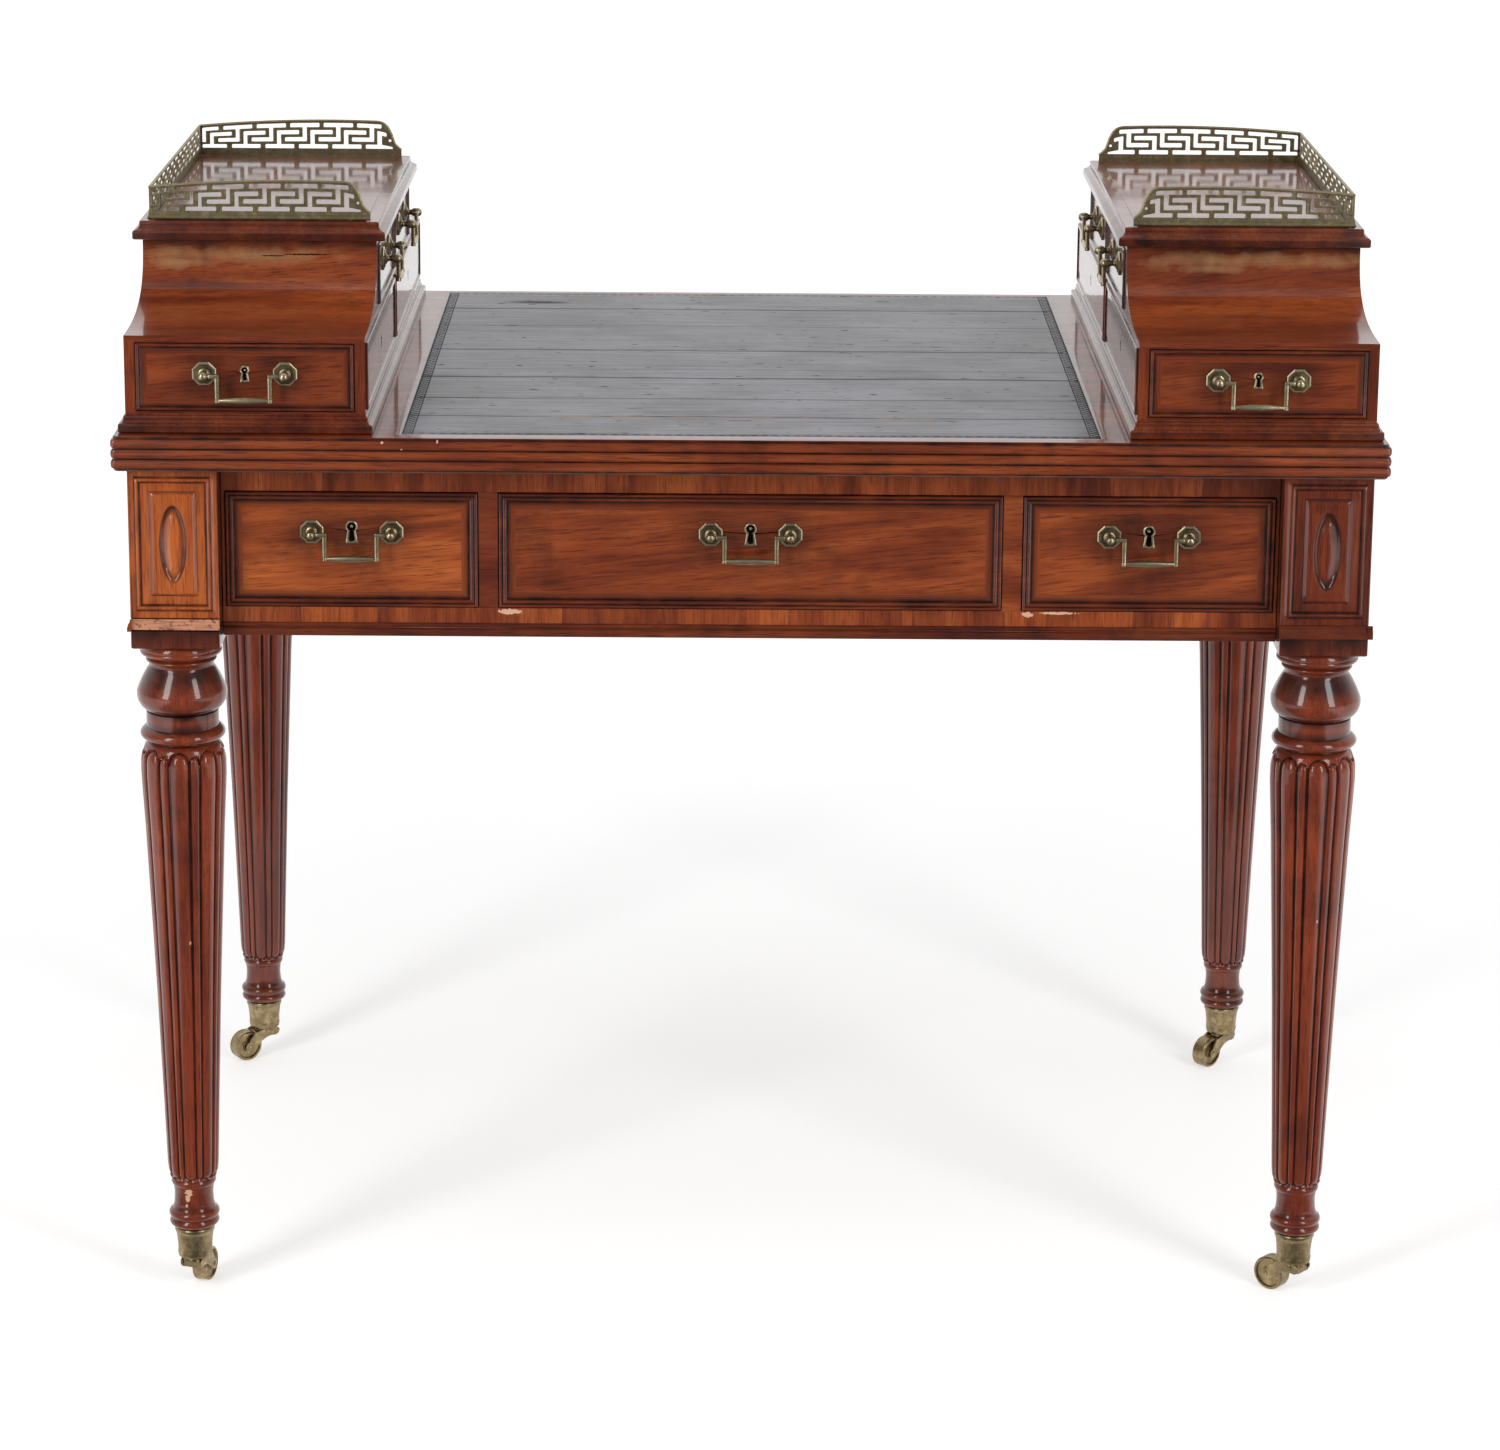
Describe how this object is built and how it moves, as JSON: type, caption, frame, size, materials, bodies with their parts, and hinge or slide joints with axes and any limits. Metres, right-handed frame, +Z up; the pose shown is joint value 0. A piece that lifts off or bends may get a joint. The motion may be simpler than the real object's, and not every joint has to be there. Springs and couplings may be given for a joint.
{
  "type": "writing desk",
  "caption": "Mahogany writing desk with a leather-lined top, raised side cases with brass galleries, drawers with bail handles and reeded legs on casters.",
  "frame": {"origin": "on the floor, below the middle of the desk", "axes": "+X along the desk's length to the sitter's right, +Y from the sitter's side to the back, +Z up"},
  "size_m": [1.07, 0.7, 0.9713],
  "materials": {
    "mahogany": "french-polished red-brown mahogany",
    "dark_mahogany": "darker polished turned mahogany",
    "leather": "worn blue-grey leather, blind tooled",
    "brass": "aged, dulled cast brass"
  },
  "bodies": {
    "desk": {"writing_top": "mahogany", "leather_inset": "leather", "frieze_frame": "mahogany", "leg_front_left": "dark_mahogany", "leg_front_right": "dark_mahogany", "leg_back_left": "dark_mahogany", "leg_back_right": "dark_mahogany", "caster_cup_front_left": "brass", "caster_cup_front_right": "brass", "caster_cup_back_left": "brass", "caster_cup_back_right": "brass", "case_left": "mahogany", "case_right": "mahogany", "gallery_left": "brass", "gallery_right": "brass"},
    "drawer_frieze_left": {"drawer_frieze_left": "mahogany", "post_frieze_left_left": "brass", "post_frieze_left_right": "brass"},
    "bail_frieze_left": {"bail_frieze_left": "brass"},
    "drawer_frieze_centre": {"drawer_frieze_centre": "mahogany", "post_frieze_centre_left": "brass", "post_frieze_centre_right": "brass"},
    "bail_frieze_centre": {"bail_frieze_centre": "brass"},
    "drawer_frieze_right": {"drawer_frieze_right": "mahogany", "post_frieze_right_left": "brass", "post_frieze_right_right": "brass"},
    "bail_frieze_right": {"bail_frieze_right": "brass"},
    "drawer_case_left_front": {"drawer_case_left_front": "mahogany", "post_case_left_front_left": "brass", "post_case_left_front_right": "brass"},
    "bail_case_left_front": {"bail_case_left_front": "brass"},
    "drawer_case_left_near": {"drawer_case_left_near": "mahogany", "post_case_left_near_left": "brass", "post_case_left_near_right": "brass"},
    "bail_case_left_near": {"bail_case_left_near": "brass"},
    "drawer_case_left_far": {"drawer_case_left_far": "mahogany", "post_case_left_far_left": "brass", "post_case_left_far_right": "brass"},
    "bail_case_left_far": {"bail_case_left_far": "brass"},
    "drawer_case_right_front": {"drawer_case_right_front": "mahogany", "post_case_right_front_left": "brass", "post_case_right_front_right": "brass"},
    "bail_case_right_front": {"bail_case_right_front": "brass"},
    "drawer_case_right_near": {"drawer_case_right_near": "mahogany", "post_case_right_near_left": "brass", "post_case_right_near_right": "brass"},
    "bail_case_right_near": {"bail_case_right_near": "brass"},
    "drawer_case_right_far": {"drawer_case_right_far": "mahogany", "post_case_right_far_left": "brass", "post_case_right_far_right": "brass"},
    "bail_case_right_far": {"bail_case_right_far": "brass"},
    "caster_fork_front_left": {"caster_fork_front_left": "brass"},
    "caster_wheel_front_left": {"caster_wheel_front_left": "brass"},
    "caster_fork_front_right": {"caster_fork_front_right": "brass"},
    "caster_wheel_front_right": {"caster_wheel_front_right": "brass"},
    "caster_fork_back_left": {"caster_fork_back_left": "brass"},
    "caster_wheel_back_left": {"caster_wheel_back_left": "brass"},
    "caster_fork_back_right": {"caster_fork_back_right": "brass"},
    "caster_wheel_back_right": {"caster_wheel_back_right": "brass"}
  },
  "joints": [
    {"name": "slide_frieze_left", "type": "slide", "parent": "desk", "child": "drawer_frieze_left", "axis": [0, -1, 0], "range_m": [0, 0.4]},
    {"name": "swing_frieze_left", "type": "hinge", "parent": "drawer_frieze_left", "child": "bail_frieze_left", "pos_m": [-0.3375, -0.3248, 0.691], "axis": [-1, 0, 0], "range_deg": [-25, 95]},
    {"name": "slide_frieze_centre", "type": "slide", "parent": "desk", "child": "drawer_frieze_centre", "axis": [0, -1, 0], "range_m": [0, 0.4]},
    {"name": "swing_frieze_centre", "type": "hinge", "parent": "drawer_frieze_centre", "child": "bail_frieze_centre", "pos_m": [0, -0.3248, 0.691], "axis": [-1, 0, 0], "range_deg": [-25, 95]},
    {"name": "slide_frieze_right", "type": "slide", "parent": "desk", "child": "drawer_frieze_right", "axis": [0, -1, 0], "range_m": [0, 0.4]},
    {"name": "swing_frieze_right", "type": "hinge", "parent": "drawer_frieze_right", "child": "bail_frieze_right", "pos_m": [0.3375, -0.3248, 0.691], "axis": [-1, 0, 0], "range_deg": [-25, 95]},
    {"name": "slide_case_left_front", "type": "slide", "parent": "desk", "child": "drawer_case_left_front", "axis": [0, -1, 0], "range_m": [0, 0.24]},
    {"name": "swing_case_left_front", "type": "hinge", "parent": "drawer_case_left_front", "child": "bail_case_left_front", "pos_m": [-0.4233, -0.3428, 0.83015], "axis": [-1, 0, 0], "range_deg": [-25, 95]},
    {"name": "slide_case_left_near", "type": "slide", "parent": "desk", "child": "drawer_case_left_near", "axis": [1, 0, 0], "range_m": [0, 0.12]},
    {"name": "swing_case_left_near", "type": "hinge", "parent": "drawer_case_left_near", "child": "bail_case_left_near", "pos_m": [-0.31, -0.0925, 0.8936], "axis": [0, -1, 0], "range_deg": [-25, 95]},
    {"name": "slide_case_left_far", "type": "slide", "parent": "desk", "child": "drawer_case_left_far", "axis": [1, 0, 0], "range_m": [0, 0.12]},
    {"name": "swing_case_left_far", "type": "hinge", "parent": "drawer_case_left_far", "child": "bail_case_left_far", "pos_m": [-0.31, 0.0925, 0.8936], "axis": [0, -1, 0], "range_deg": [-25, 95]},
    {"name": "slide_case_right_front", "type": "slide", "parent": "desk", "child": "drawer_case_right_front", "axis": [0, -1, 0], "range_m": [0, 0.24]},
    {"name": "swing_case_right_front", "type": "hinge", "parent": "drawer_case_right_front", "child": "bail_case_right_front", "pos_m": [0.4233, -0.3428, 0.83015], "axis": [-1, 0, 0], "range_deg": [-25, 95]},
    {"name": "slide_case_right_near", "type": "slide", "parent": "desk", "child": "drawer_case_right_near", "axis": [-1, 0, 0], "range_m": [0, 0.12]},
    {"name": "swing_case_right_near", "type": "hinge", "parent": "drawer_case_right_near", "child": "bail_case_right_near", "pos_m": [0.31, -0.0925, 0.8936], "axis": [0, 1, 0], "range_deg": [-25, 95]},
    {"name": "slide_case_right_far", "type": "slide", "parent": "desk", "child": "drawer_case_right_far", "axis": [-1, 0, 0], "range_m": [0, 0.12]},
    {"name": "swing_case_right_far", "type": "hinge", "parent": "drawer_case_right_far", "child": "bail_case_right_far", "pos_m": [0.31, 0.0925, 0.8936], "axis": [0, 1, 0], "range_deg": [-25, 95]},
    {"name": "swivel_front_left", "type": "hinge", "parent": "desk", "child": "caster_fork_front_left", "pos_m": [-0.4855, -0.3005, 0.032], "axis": [0, 0, 1], "continuous": true},
    {"name": "roll_front_left", "type": "hinge", "parent": "caster_fork_front_left", "child": "caster_wheel_front_left", "pos_m": [-0.47981, -0.27925, 0.015], "axis": [-0.9659, 0.2588, 0], "continuous": true},
    {"name": "swivel_front_right", "type": "hinge", "parent": "desk", "child": "caster_fork_front_right", "pos_m": [0.4855, -0.3005, 0.032], "axis": [0, 0, 1], "continuous": true},
    {"name": "roll_front_right", "type": "hinge", "parent": "caster_fork_front_right", "child": "caster_wheel_front_right", "pos_m": [0.4689, -0.28607, 0.015], "axis": [-0.6561, -0.7547, 0], "continuous": true},
    {"name": "swivel_back_left", "type": "hinge", "parent": "desk", "child": "caster_fork_back_left", "pos_m": [-0.4855, 0.3005, 0.032], "axis": [0, 0, 1], "continuous": true},
    {"name": "roll_back_left", "type": "hinge", "parent": "caster_fork_back_left", "child": "caster_wheel_back_left", "pos_m": [-0.50352, 0.28788, 0.015], "axis": [0.5736, -0.8191, 0], "continuous": true},
    {"name": "swivel_back_right", "type": "hinge", "parent": "desk", "child": "caster_fork_back_right", "pos_m": [0.4855, 0.3005, 0.032], "axis": [0, 0, 1], "continuous": true},
    {"name": "roll_back_right", "type": "hinge", "parent": "caster_fork_back_right", "child": "caster_wheel_back_right", "pos_m": [0.46994, 0.28494, 0.015], "axis": [0.7071, -0.7071, 0], "continuous": true}
  ]
}
